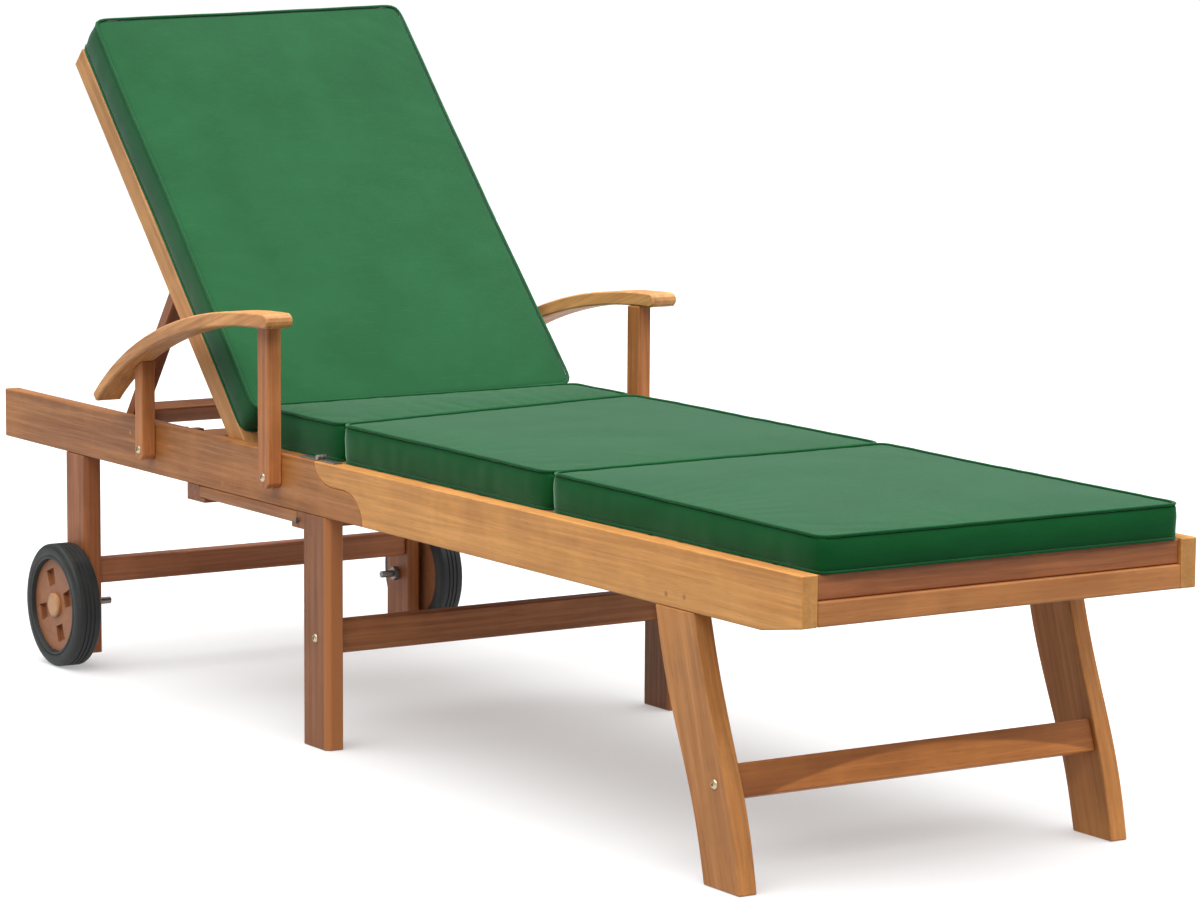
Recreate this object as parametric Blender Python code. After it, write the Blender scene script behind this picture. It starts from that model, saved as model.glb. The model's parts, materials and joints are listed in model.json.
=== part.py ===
"""Reclining wooden sun lounger with wheels, armrests, a pull-out tray and a four-part cushion.

Metres, Z up. The origin is on the floor at the centre of the footprint. The head end is +Y,
the foot end is -Y and the near side, where the tray pulls out, is -X.
"""
import math

import bmesh
import bpy
import numpy as np

# ---------------------------------------------------------------- driving dimensions
GAP = 0.0003                 # running gap between pieces that touch
FRAME_LENGTH = 2.000
FRAME_WIDTH = 0.550          # over the outer faces of the side rails
RAIL_BOTTOM = 0.3020
RAIL_HEIGHT = 0.0695
RAIL_THICKNESS = 0.0220
RAIL_NOSE_RISE = 0.0118      # chamfer under the foot end of the rail
RAIL_NOSE_RUN = 0.0750
LEG_THICKNESS = 0.0240
LEG_WIDTH = 0.0613
TENON_THICKNESS = 0.0120
TENON_HEIGHT = 0.0240
MID_LEG_Y = 0.0670           # centre of the mid legs
REAR_LEG_SET = 0.2336        # rear legs, and the wheel axle, from the head end
REAR_LEG_LIFT = 0.0190
LEG_CHAMFER = 0.0060
STRETCHER_THICKNESS = 0.0220
FRONT_LEG_SET = 0.2045       # front edge of a front leg at the rail, from the foot end
FRONT_LEG_WIDTH = 0.0765     # at the rail
FRONT_LEG_RAKE = 0.0950
FRONT_STRETCHER_SET = 0.1600
FRONT_STRETCHER_Z = 0.1170

HINGE_Y = 0.0700             # fold hinge pin, and the joint line at the rail top
HINGE_RISE = 0.0041          # pin height over the rail top
TONGUE_TIP_Y = -0.0544
TONGUE_BEND_Y = -0.0081
UPPER_BEND_Y = 0.0216
TONGUE_TOP = 0.0402          # tongue height over the rail bottom

WHEEL_RADIUS = 0.0875
HUB_RADIUS = 0.0655
WHEEL_CLEAR = 0.0015         # leg to tyre
WHEEL_WIDTH = 0.0385
AXLE_RADIUS = 0.0050
AXLE_STUB = 0.0280           # axle bolt past the leg's inner face
HUB_SET = 0.0070             # hub face inside the tyre's outer face
WINDOW_ANGLE = -20.0         # first recess of the hub, from the +Y direction

ARM_CLEAR = 0.0010           # rail face to the armrest's inner face
ARM_WIDTH = 0.0390
ARM_THICKNESS = 0.0190
ARM_TAIL_THICKNESS = 0.0140
ARM_CREST_Y = 0.1300         # highest point of the arm's top curve
ARM_TOP = 0.5560
ARM_TAIL_Y = 0.6280
ARM_RADIUS_Y = 0.5800        # half axes of the ellipse the arm follows
ARM_RADIUS_Z = 0.3120
POST_THICKNESS = 0.0200
FRONT_POST_Y = 0.1690
FRONT_POST_WIDTH = 0.0280
REAR_POST_Y = 0.5260
REAR_POST_WIDTH = 0.0220

SLAT_THICKNESS = 0.0119
SLAT_DROP = 0.0008           # slat tops below the rail top
SLAT_WIDTH = 0.0500
SLAT_SPACE = 0.0120
BATTEN_WIDTH = 0.0260
BATTEN_THICKNESS = 0.0150

BACK_PIVOT_Y = 0.3100
BACK_PIVOT_DROP = 0.0170     # pivot below the rail top
RECLINE = math.radians(46.4)
STILE_DEPTH = 0.0330
STILE_WIDTH = 0.0240
STILE_LENGTH = 0.7000        # pivot to top end
STILE_PLAY = 0.0015          # rail to stile
PIVOT_RADIUS = 0.0055

PROP_REACH = 0.3140          # back pivot to prop hinge, along the stile
PROP_SET = -0.0050           # prop hinge below the stile's centre line
PROP_LENGTH = 0.2770
PROP_DEPTH = 0.0180
PROP_WIDTH = 0.0220
PROP_PIN_RADIUS = 0.0040
PROP_FOOT_RISE = 0.0020      # foot centre above the back pivot at this recline
PROP_FOLD_RATIO = 2.1476     # prop angle over recline angle
BACK_MAX = math.radians(58.0)
BAR_BEFORE = 0.0220          # prop crossbar, before and past the foot's centre
BAR_PAST = 0.0060
RACK_PLAY = 0.0008           # crossbar over the rack's teeth
RACK_WIDTH = 0.0270          # toothed strip of the rack
RACK_DROP = 0.0015           # rack's ledge below the lowered stile
NOTCH_DEPTH = 0.0060
RACK_START = 0.2500          # rack and cross board, behind the back pivot
RACK_END = 0.6150
CROSS_BOARD_START = 0.2650
CROSS_BOARD_WIDTH = 0.0700

PAD_SIDE_CLEAR = 0.0050      # inside the rails' inner faces
PAD_THICKNESS = 0.0490
PAD_ROUND = 0.0060
PAD_SPLIT_SHARE = 0.4460     # mid pad to foot pad, as a share of the half length
SEAT_PAD_END_Y = 0.2600
BACK_PAD_START = 0.0260
BACK_PAD_END = 0.7100

TRAY_START_Y = 0.1163
TRAY_END_Y = 0.3877
TRAY_DROP = 0.0040           # tray top below the rail bottom
TRAY_THICKNESS = 0.0122
TRAY_EDGE = 0.0190           # the tray's front edge strip
TRAY_BACK_SET = 0.0750       # back end of the tray, inside the far rail's outer face
RUNNER_DROP = 0.0223         # runner bottom below the rail bottom

# ---------------------------------------------------------------- derived dimensions
HALF_LENGTH = FRAME_LENGTH / 2
RAIL_OUT = FRAME_WIDTH / 2
RAIL_IN = RAIL_OUT - RAIL_THICKNESS
RAIL_TOP = RAIL_BOTTOM + RAIL_HEIGHT
REAR_LEG_Y = HALF_LENGTH - REAR_LEG_SET
FRONT_STRETCHER_Y = -HALF_LENGTH + FRONT_STRETCHER_SET
WHEEL_IN = RAIL_OUT + WHEEL_CLEAR
WHEEL_OUT = WHEEL_IN + WHEEL_WIDTH
ARM_IN = RAIL_OUT + ARM_CLEAR
ARM_OUT = ARM_IN + ARM_WIDTH
LEG_IN = RAIL_OUT - LEG_THICKNESS
SLAT_TOP = RAIL_TOP - SLAT_DROP
SLAT_BOTTOM = SLAT_TOP - SLAT_THICKNESS
HINGE_Z = RAIL_TOP + HINGE_RISE
BACK_PIVOT_Z = RAIL_TOP - BACK_PIVOT_DROP
PROP_FOOT_Z = BACK_PIVOT_Z + PROP_FOOT_RISE
STILE_OUT = RAIL_IN - STILE_PLAY
STILE_IN = STILE_OUT - STILE_WIDTH
STILE_HALF = STILE_DEPTH / 2
PROP_OUT = STILE_IN - GAP
PROP_IN = PROP_OUT - PROP_WIDTH
RACK_OUT = PROP_IN - 0.0007
RACK_IN = RACK_OUT - RACK_WIDTH
RACK_LEDGE_Z = BACK_PIVOT_Z - STILE_HALF - RACK_DROP
PAD_HALF_WIDTH = RAIL_IN - PAD_SIDE_CLEAR
PAD_SPLIT_Y = -PAD_SPLIT_SHARE * HALF_LENGTH
PAD_BOTTOM = SLAT_TOP + GAP
PAD_TOP = PAD_BOTTOM + PAD_THICKNESS
TRAY_TOP = RAIL_BOTTOM - TRAY_DROP
TRAY_BOTTOM = TRAY_TOP - TRAY_THICKNESS
TRAY_FRONT_X = RAIL_OUT - TRAY_EDGE
TRAY_BACK_X = RAIL_OUT - TRAY_BACK_SET
RUNNER_BOTTOM = RAIL_BOTTOM - RUNNER_DROP

TEAK = (0.46, 0.25, 0.11, 1.0)
TEAK_LIGHT = (0.58, 0.34, 0.15, 1.0)
TEAK_DARK = (0.30, 0.15, 0.07, 1.0)
GREEN = (0.02, 0.16, 0.06, 1.0)
RUBBER = (0.02, 0.02, 0.02, 1.0)
HUB_BROWN = (0.33, 0.15, 0.08, 1.0)
CAP_TAN = (0.62, 0.37, 0.19, 1.0)
STEEL = (0.55, 0.56, 0.57, 1.0)


# ---------------------------------------------------------------- building blocks
def finish(name, bm, colour, roughness=0.55, metallic=0.0):
    bmesh.ops.recalc_face_normals(bm, faces=bm.faces[:])
    mesh = bpy.data.meshes.new(name)
    bm.to_mesh(mesh)
    bm.free()
    obj = bpy.data.objects.new(name, mesh)
    bpy.context.scene.collection.objects.link(obj)
    mat = bpy.data.materials.new(name + "_mat")
    mat.use_nodes = True
    shader = mat.node_tree.nodes.get("Principled BSDF")
    shader.inputs["Base Color"].default_value = colour
    shader.inputs["Roughness"].default_value = roughness
    shader.inputs["Metallic"].default_value = metallic
    mat.diffuse_color = colour
    mesh.materials.append(mat)
    return obj


def prism(bm, profile, low, high, axis):
    """A straight prism: the profile's two coordinates are the other two axes, in order."""
    def place(point, along):
        first, second = point
        if axis == "x":
            return (along, first, second)
        if axis == "y":
            return (first, along, second)
        return (first, second, along)
    start = [bm.verts.new(place(p, low)) for p in profile]
    end = [bm.verts.new(place(p, high)) for p in profile]
    count = len(profile)
    bm.faces.new(start)
    bm.faces.new(end[::-1])
    for i in range(count):
        j = (i + 1) % count
        bm.faces.new((start[i], start[j], end[j], end[i]))


def ease(bm, width):
    """A small chamfer on every sharp edge."""
    bm.normal_update()
    sharp = []
    for edge in bm.edges:
        if len(edge.link_faces) == 2 and edge.calc_face_angle() > math.radians(35):
            sharp.append(edge)
    bmesh.ops.bevel(bm, geom=sharp, offset=width, offset_type="OFFSET", segments=1,
                    profile=0.5, affect="EDGES", clamp_overlap=True)


def board(name, profile, low, high, axis, colour, easing=0.0015):
    bm = bmesh.new()
    prism(bm, profile, min(low, high), max(low, high), axis)
    bmesh.ops.recalc_face_normals(bm, faces=bm.faces[:])
    if easing:
        ease(bm, easing)
    return finish(name, bm, colour)


def rectangle(a0, a1, b0, b1):
    return [(a0, b0), (a1, b0), (a1, b1), (a0, b1)]


def box(name, x0, x1, y0, y1, z0, z1, colour, easing=0.0015):
    return board(name, rectangle(y0, y1, z0, z1), x0, x1, "x", colour, easing)


def turned(name, outline, y, z, sides, colour, closed=False, roughness=0.5, metallic=0.0):
    """A solid turned about an axis parallel to X. The outline is a list of (x, radius)."""
    bm = bmesh.new()
    rings = []
    for x, radius in outline:
        if radius == 0:
            rings.append([bm.verts.new((x, y, z))])
            continue
        ring = []
        for k in range(sides):
            angle = 2 * math.pi * (k + 0.5) / sides
            ring.append(bm.verts.new((x, y + radius * math.cos(angle), z + radius * math.sin(angle))))
        rings.append(ring)
    count = len(rings)
    for i in range(count if closed else count - 1):
        first = rings[i]
        second = rings[(i + 1) % count]
        for k in range(sides):
            m = (k + 1) % sides
            if len(first) == 1:
                bm.faces.new((first[0], second[k], second[m]))
            elif len(second) == 1:
                bm.faces.new((first[k], first[m], second[0]))
            else:
                bm.faces.new((first[k], first[m], second[m], second[k]))
    return finish(name, bm, colour, roughness, metallic)


def rod(name, x0, x1, y, z, radius, sides=24, colour=STEEL, metallic=0.0):
    outline = [(x0, 0), (x0, radius), (x1, radius), (x1, 0)]
    return turned(name, outline, y, z, sides, colour, metallic=metallic)


def combine(obj, tool, operation):
    """One exact boolean, applied. The tool solid is used up."""
    tool.hide_render = True
    tool.display_type = "WIRE"
    step = obj.modifiers.new("step", "BOOLEAN")
    step.operation = operation
    step.solver = "EXACT"
    step.object = tool
    bpy.context.view_layer.update()
    graph = bpy.context.evaluated_depsgraph_get()
    result = bpy.data.meshes.new_from_object(obj.evaluated_get(graph))
    obj.modifiers.clear()
    previous = obj.data
    materials = [m for m in previous.materials]
    obj.data = result
    result.materials.clear()
    for mat in materials[:1]:
        result.materials.append(mat)
    for polygon in result.polygons:
        polygon.material_index = 0
    bpy.data.meshes.remove(previous)
    bpy.data.objects.remove(tool, do_unlink=True)
    tidy = bmesh.new()
    tidy.from_mesh(result)
    bmesh.ops.remove_doubles(tidy, verts=tidy.verts[:], dist=0.00001)
    bmesh.ops.dissolve_degenerate(tidy, edges=tidy.edges[:], dist=0.00001)
    tidy.to_mesh(result)
    tidy.free()


def carve(obj, tool):
    combine(obj, tool, "DIFFERENCE")


def weld(obj, tool):
    combine(obj, tool, "UNION")


def arc(centre_a, centre_b, radius_a, radius_b, start, stop, count):
    points = []
    for k in range(count + 1):
        angle = math.radians(start + (stop - start) * k / count)
        points.append((centre_a + radius_a * math.cos(angle), centre_b + radius_b * math.sin(angle)))
    return points


def back_point(along, out, angle=RECLINE):
    """A point of the backrest: distance along the stile from the pivot, and out from its centre line."""
    return (BACK_PIVOT_Y + along * math.cos(angle) - out * math.sin(angle),
            BACK_PIVOT_Z + along * math.sin(angle) + out * math.cos(angle))


def back_rectangle(t0, t1, n0, n1):
    return [back_point(t0, n0), back_point(t1, n0), back_point(t1, n1), back_point(t0, n1)]


# ---------------------------------------------------------------- the joint between the rail halves
def joint_curve(offset):
    """The curved line where the two rail halves meet, from the rail top down. A positive
    offset shifts it towards the foot end, square to the curve."""
    top_z = RAIL_BOTTOM + TONGUE_TOP
    upper = arc(UPPER_BEND_Y, RAIL_TOP, HINGE_Y - UPPER_BEND_Y - offset, RAIL_TOP - top_z - offset, 0, -90, 6)
    lower = arc(TONGUE_BEND_Y, RAIL_BOTTOM, TONGUE_BEND_Y - TONGUE_TIP_Y + offset, TONGUE_TOP + offset, 90, 180, 6)
    return upper + lower


def rear_rail_profile():
    curve = joint_curve(0.0)
    return [(HALF_LENGTH, RAIL_BOTTOM), (HALF_LENGTH, RAIL_TOP)] + curve


def front_rail_profile():
    curve = joint_curve(GAP)
    nose = [(-HALF_LENGTH + RAIL_NOSE_RUN, RAIL_BOTTOM),
            (-HALF_LENGTH, RAIL_BOTTOM + RAIL_NOSE_RISE),
            (-HALF_LENGTH, RAIL_TOP)]
    return curve + nose


def front_leg_edges(z):
    """Rear and front edges of a front leg at a height: a shallow S that rakes towards the foot."""
    share = 1 - z / RAIL_BOTTOM
    sway = 0.005 * math.sin(2 * math.pi * share)
    belly = 0.0045 * math.sin(math.pi * share)
    top = -HALF_LENGTH + FRONT_LEG_SET
    front = top - FRONT_LEG_RAKE * share + 0.8 * sway - belly
    rear = top + FRONT_LEG_WIDTH - (FRONT_LEG_RAKE + 0.0060) * share + sway
    return rear, front


def slat_panel(name, start, stop, count, top, colour, place=None, half_width=None):
    """Cross slats on two battens, as one glued panel. On the backrest the battens are let
    into the slats, so that the prop can fold flat behind them."""
    half = half_width if half_width else RAIL_IN - 0.0010
    space = (stop - start - count * SLAT_WIDTH) / (count - 1)
    low = top - SLAT_THICKNESS
    batten_low = low + 0.001 if place else low - BATTEN_THICKNESS
    batten_top = top - 0.003 if place else low + 0.001
    bm = bmesh.new()
    for k in range(count):
        y0 = start + k * (SLAT_WIDTH + space)
        profile = rectangle(y0, y0 + SLAT_WIDTH, low, top)
        if place:
            profile = [place(a, b) for a, b in profile]
        prism(bm, profile, -half, half, "x")
    bmesh.ops.recalc_face_normals(bm, faces=bm.faces[:])
    panel = finish(name, bm, colour)
    for side in (-1, 1):
        profile = rectangle(start + 0.004, stop - 0.004, batten_low, batten_top)
        if place:
            profile = [place(a, b) for a, b in profile]
        x_out = side * (half - 0.002)
        x_in = side * (half - 0.002 - BATTEN_WIDTH)
        weld(panel, board(name + "_batten", profile, x_out, x_in, "x", colour, 0))
    return panel


def arm_curves():
    """Top and bottom lines of an armrest, from the front to the tail."""
    end = math.asin((ARM_TAIL_Y - ARM_CREST_Y) / ARM_RADIUS_Y)
    top = []
    bottom = []
    steps = 36
    for k in range(steps + 1):
        share = k / steps
        angle = end * share
        y = ARM_CREST_Y + ARM_RADIUS_Y * math.sin(angle)
        z = ARM_TOP - ARM_RADIUS_Z * (1 - math.cos(angle))
        normal = np.array([math.sin(angle) / ARM_RADIUS_Y, math.cos(angle) / ARM_RADIUS_Z])
        normal = normal / np.linalg.norm(normal)
        thick = ARM_THICKNESS + (ARM_TAIL_THICKNESS - ARM_THICKNESS) * share ** 3
        top.append((y, z))
        bottom.append((y - normal[0] * thick, z - normal[1] * thick))
    return top, bottom


def arm_profile():
    top, bottom = arm_curves()
    radius = ARM_THICKNESS / 2
    nose = arc(ARM_CREST_Y, ARM_TOP - radius, radius, radius, 270, 90, 6)[1:-1]
    return top + bottom[::-1] + nose


def under_arm(y):
    bottom = arm_curves()[1]
    return float(np.interp(y, [p[0] for p in bottom], [p[1] for p in bottom]))


def post_profile(centre, width, foot):
    y0 = centre - width / 2
    y1 = centre + width / 2
    margin = 0.003
    crown = [y0] + [p[0] for p in arm_curves()[1] if y0 + margin < p[0] < y1 - margin] + [y1]
    top = [(y, under_arm(y) - GAP) for y in crown]
    corner = 0.006
    return top[::-1] + [(y0, foot + corner), (y0 + corner, foot), (y1 - corner, foot), (y1, foot + corner)]


def prop_foot(recline):
    """Foot centre of the prop when the back is at a recline angle."""
    hinge = back_point(PROP_REACH, PROP_SET, recline)
    rest_hinge = back_point(PROP_REACH, PROP_SET)
    slope_rest = math.asin((rest_hinge[1] - PROP_FOOT_Z) / PROP_LENGTH)
    slope = slope_rest + (PROP_FOLD_RATIO - 1) * (recline - RECLINE)
    return (hinge[0] + PROP_LENGTH * math.cos(slope), hinge[1] - PROP_LENGTH * math.sin(slope), slope)


def bar_corner(recline):
    """Lowest corner of the prop's crossbar when the back is at a recline angle."""
    y, z, slope = prop_foot(recline)
    half = PROP_DEPTH / 2
    return (y + BAR_PAST * math.cos(slope) - half * math.sin(slope),
            z - BAR_PAST * math.sin(slope) - half * math.cos(slope))


def rack_profile():
    """Top line a little below the path of the prop's crossbar, with a notch at each stop."""
    path = [bar_corner(math.radians(d)) for d in np.linspace(0.0, 58.0, 59)]
    ys = [p[0] for p in path][::-1]
    zs = [p[1] for p in path][::-1]
    low = BACK_PIVOT_Y + RACK_START
    high = BACK_PIVOT_Y + RACK_END

    def tooth(y):
        near = [z for py, z in zip(ys, zs) if abs(py - y) < 0.010]
        centre = float(np.interp(y, ys, zs))
        return min(near + [centre]) - RACK_PLAY

    stops = [bar_corner(math.radians(d))[0] for d in (56.0, 46.4, 36.0, 26.0)]
    line = [(low, tooth(low))]
    for y in stops:
        line.append((y - 0.0280, tooth(y - 0.0280)))
        line.append((y - 0.0180, tooth(y) - NOTCH_DEPTH))
        line.append((y + 0.0010, tooth(y) - NOTCH_DEPTH))
        line.append((y + 0.0030, tooth(y + 0.0030)))
    line.append((high, tooth(high)))
    return [(high, RAIL_BOTTOM + 0.001), (low, RAIL_BOTTOM + 0.001)] + line


def bolt(name, side, face, y, z, length):
    """A button-head bolt whose head sits on a face and whose shank points inwards."""
    outline = [(side * (face - length), 0), (side * (face - length), 0.0030), (side * (face + GAP), 0.0030),
               (side * (face + GAP), 0.0060), (side * (face + 0.0018), 0.0060),
               (side * (face + 0.0030), 0.0035), (side * (face + 0.0030), 0)]
    return turned(name, outline, y, z, 16, STEEL, roughness=0.35, metallic=1.0)


def bolt_hole(side, face, y, z, length):
    return rod("hole", side * (face - length - 0.0005), side * (face + 0.02), y, z, 0.0033, 16)


def clear_scene():
    for obj in list(bpy.data.objects):
        bpy.data.objects.remove(obj, do_unlink=True)


# ---------------------------------------------------------------- the lounger
def build_side(side, tag):
    """Everything that comes in left and right pairs."""
    # rear half of the side rail
    rail = board("rail_rear_" + tag, rear_rail_profile(), side * RAIL_IN, side * RAIL_OUT, "x", TEAK, 0.0012)
    tenon_out = RAIL_OUT - (RAIL_THICKNESS - TENON_THICKNESS) / 2
    tenon_in = tenon_out - TENON_THICKNESS
    for centre in (MID_LEG_Y, REAR_LEG_Y):
        half = LEG_WIDTH / 2 - 0.012
        carve(rail, box("mortise", side * (tenon_in - GAP), side * (tenon_out + GAP), centre - half - GAP,
                        centre + half + GAP, RAIL_BOTTOM - 0.01, RAIL_BOTTOM + TENON_HEIGHT + GAP, TEAK, 0))
    carve(rail, rod("hole", side * (RAIL_IN - 0.01), side * (RAIL_IN + 0.013), BACK_PIVOT_Y, BACK_PIVOT_Z,
                    PIVOT_RADIUS + GAP))
    front_bolt_z = RAIL_BOTTOM + 0.0380
    rear_bolt_z = RAIL_BOTTOM + 0.0340
    post_face = RAIL_OUT + GAP + POST_THICKNESS
    carve(rail, bolt_hole(side, post_face, FRONT_POST_Y, front_bolt_z, 0.032))
    carve(rail, bolt_hole(side, post_face, REAR_POST_Y, rear_bolt_z, 0.032))

    # legs under the rear rail
    for name, centre, foot in (("leg_mid_", MID_LEG_Y, 0.0), ("leg_rear_", REAR_LEG_Y, REAR_LEG_LIFT)):
        y0 = centre - LEG_WIDTH / 2
        y1 = centre + LEG_WIDTH / 2
        plan = [(side * LEG_IN, y0), (side * (RAIL_OUT - LEG_CHAMFER), y0), (side * RAIL_OUT, y0 + LEG_CHAMFER),
                (side * RAIL_OUT, y1), (side * LEG_IN, y1)]
        leg = board(name + tag, plan, foot, RAIL_BOTTOM - GAP, "z", TEAK, 0.0010)
        half = LEG_WIDTH / 2 - 0.012
        weld(leg, box("tenon", side * tenon_in, side * tenon_out, centre - half, centre + half,
                      RAIL_BOTTOM - 0.010, RAIL_BOTTOM + TENON_HEIGHT, TEAK, 0))
        if foot == 0.0:
            carve(leg, bolt_hole(side, RAIL_OUT, centre, 0.1430, 0.048))
            bolt("bolt_mid_leg_" + tag, side, RAIL_OUT, centre, 0.1430, 0.046)
        else:
            carve(leg, rod("hole", side * (LEG_IN - 0.01), side * (RAIL_OUT + 0.01), centre, WHEEL_RADIUS,
                           AXLE_RADIUS + GAP))

    # wheel, its cap and the axle bolt with its nut
    turned("tyre_" + tag, [(side * WHEEL_IN, HUB_RADIUS + GAP), (side * WHEEL_IN, WHEEL_RADIUS - 0.0055),
                           (side * (WHEEL_IN + 0.0045), WHEEL_RADIUS), (side * (WHEEL_OUT - 0.0045), WHEEL_RADIUS),
                           (side * WHEEL_OUT, WHEEL_RADIUS - 0.0055), (side * WHEEL_OUT, HUB_RADIUS + GAP)],
           REAR_LEG_Y, WHEEL_RADIUS, 48, RUBBER, closed=True, roughness=0.8)
    hub_in = WHEEL_IN + 0.004
    hub_out = WHEEL_OUT - HUB_SET
    hub = turned("hub_" + tag, [(side * (RAIL_OUT + 2 * GAP), AXLE_RADIUS + GAP),
                                (side * (RAIL_OUT + 2 * GAP), 0.0150), (side * hub_in, 0.0150),
                                (side * hub_in, HUB_RADIUS), (side * hub_out, HUB_RADIUS),
                                (side * hub_out, AXLE_RADIUS + GAP)],
                 REAR_LEG_Y, WHEEL_RADIUS, 48, HUB_BROWN, closed=True)
    for k in range(4):
        angle = math.radians(WINDOW_ANGLE + 90 * k)
        cos_a = math.cos(angle)
        sin_a = math.sin(angle)
        corners = []
        for radial, across in ((0.029, -0.010), (0.052, -0.012), (0.052, 0.012), (0.029, 0.010)):
            corners.append((REAR_LEG_Y + radial * cos_a - across * sin_a,
                            WHEEL_RADIUS + radial * sin_a + across * cos_a))
        carve(hub, board("window", corners, side * (hub_out - 0.007), side * (hub_out + 0.01), "x", HUB_BROWN, 0))
    turned("hub_cap_" + tag, [(side * (hub_out + GAP), 0), (side * (hub_out + GAP), 0.0170),
                              (side * (hub_out + 0.0040), 0.0170), (side * (hub_out + 0.0055), 0.0145),
                              (side * (hub_out + 0.0055), 0)],
           REAR_LEG_Y, WHEEL_RADIUS, 32, CAP_TAN)
    axle = rod("axle_bolt_" + tag, side * (LEG_IN - AXLE_STUB), side * (hub_out - 0.0010), REAR_LEG_Y,
               WHEEL_RADIUS, AXLE_RADIUS, 24, STEEL, 1.0)
    weld(axle, rod("nut", side * (LEG_IN - 0.0085), side * (LEG_IN - GAP), REAR_LEG_Y, WHEEL_RADIUS,
                   0.0105, 6, STEEL, 1.0))

    # armrest on two posts that lap the rail's outer face
    board("armrest_" + tag, arm_profile(), side * ARM_IN, side * ARM_OUT, "x", TEAK, 0.0020)
    for name, centre, width, bolt_z in (("arm_post_front_", FRONT_POST_Y, FRONT_POST_WIDTH, front_bolt_z),
                                        ("arm_post_rear_", REAR_POST_Y, REAR_POST_WIDTH, rear_bolt_z)):
        post = board(name + tag, post_profile(centre, width, bolt_z - 0.014), side * (RAIL_OUT + GAP),
                     side * post_face, "x", TEAK, 0.0010)
        carve(post, bolt_hole(side, post_face, centre, bolt_z, 0.032))
        bolt("bolt_" + name + tag, side, post_face, centre, bolt_z, 0.031)

    # fold hinge on the rail tops
    middle = (RAIL_IN + RAIL_OUT) / 2
    barrel = 0.0036
    knuckle = 0.0030
    leaf_half = 0.0065
    leaf_z0 = RAIL_TOP + GAP
    leaf_z1 = leaf_z0 + 0.0015
    rear_leaf = box("hinge_leaf_rear_" + tag, side * (middle - leaf_half), side * (middle + leaf_half),
                    HINGE_Y + 0.0048, HINGE_Y + 0.0450, leaf_z0, leaf_z1, STEEL, 0)
    for a, b in ((-leaf_half, -knuckle - GAP), (knuckle + GAP, leaf_half)):
        weld(rear_leaf, box("tab", side * (middle + a), side * (middle + b), HINGE_Y, HINGE_Y + 0.0052,
                            leaf_z0 + 0.0001, leaf_z1 - 0.0001, STEEL, 0))
        weld(rear_leaf, rod("barrel", side * (middle + a), side * (middle + b), HINGE_Y, HINGE_Z, barrel, 16))
    weld(rear_leaf, rod("pin", side * (middle - 0.0062), side * (middle + 0.0062), HINGE_Y, HINGE_Z,
                        0.0016, 16))
    front_leaf = box("hinge_leaf_front_" + tag, side * (middle - leaf_half), side * (middle + leaf_half),
                     HINGE_Y - 0.0440, HINGE_Y - 0.0048, leaf_z0, leaf_z1, STEEL, 0)
    weld(front_leaf, box("tab", side * (middle - knuckle), side * (middle + knuckle), HINGE_Y - 0.0052, HINGE_Y,
                         leaf_z0 + 0.0001, leaf_z1 - 0.0001, STEEL, 0))
    weld(front_leaf, rod("barrel", side * (middle - knuckle + 0.0002), side * (middle + knuckle - 0.0002), HINGE_Y,
                         HINGE_Z, barrel, 16))
    carve(front_leaf, rod("bore", side * (middle - 0.01), side * (middle + 0.01), HINGE_Y, HINGE_Z,
                          0.0016 + GAP, 16))
    for leaf in (rear_leaf, front_leaf):
        shader = leaf.data.materials[0].node_tree.nodes.get("Principled BSDF")
        shader.inputs["Metallic"].default_value = 1.0
        shader.inputs["Roughness"].default_value = 0.35

    # notched rack for the prop's feet
    rack = board("prop_rack_" + tag, rack_profile(), side * RACK_IN, side * (RAIL_IN - GAP), "x", TEAK_DARK, 0)
    carve(rack, box("ledge", side * RACK_OUT, side * RAIL_OUT, 0.5, HALF_LENGTH, RACK_LEDGE_Z, RAIL_TOP + 0.02,
                    TEAK, 0))

    # front half of the side rail and the front leg
    front_rail = board("rail_front_" + tag, front_rail_profile(), side * RAIL_IN, side * RAIL_OUT, "x",
                       TEAK_LIGHT, 0.0012)
    rear_top, front_top = front_leg_edges(RAIL_BOTTOM)
    carve(front_rail, box("mortise", side * (tenon_in - GAP), side * (tenon_out + GAP), front_top + 0.012 - GAP,
                          rear_top - 0.012 + GAP, RAIL_BOTTOM - 0.01, RAIL_BOTTOM + TENON_HEIGHT + GAP, TEAK, 0))
    heights = [(RAIL_BOTTOM - GAP) * k / 24 for k in range(25)]
    rear_edge = [(front_leg_edges(z)[0], z) for z in heights]
    front_edge = [(front_leg_edges(z)[1], z) for z in heights]
    leg = board("leg_front_" + tag, rear_edge + front_edge[::-1], side * LEG_IN, side * RAIL_OUT, "x",
                TEAK_LIGHT, 0.0012)
    weld(leg, box("tenon", side * tenon_in, side * tenon_out, front_top + 0.012, rear_top - 0.012,
                  RAIL_BOTTOM - 0.010, RAIL_BOTTOM + TENON_HEIGHT, TEAK, 0))
    bolt_y = FRONT_STRETCHER_Y
    bolt_z = FRONT_STRETCHER_Z
    carve(leg, bolt_hole(side, RAIL_OUT, bolt_y, bolt_z, 0.048))
    bolt("bolt_front_leg_" + tag, side, RAIL_OUT, bolt_y, bolt_z, 0.046)

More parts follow.
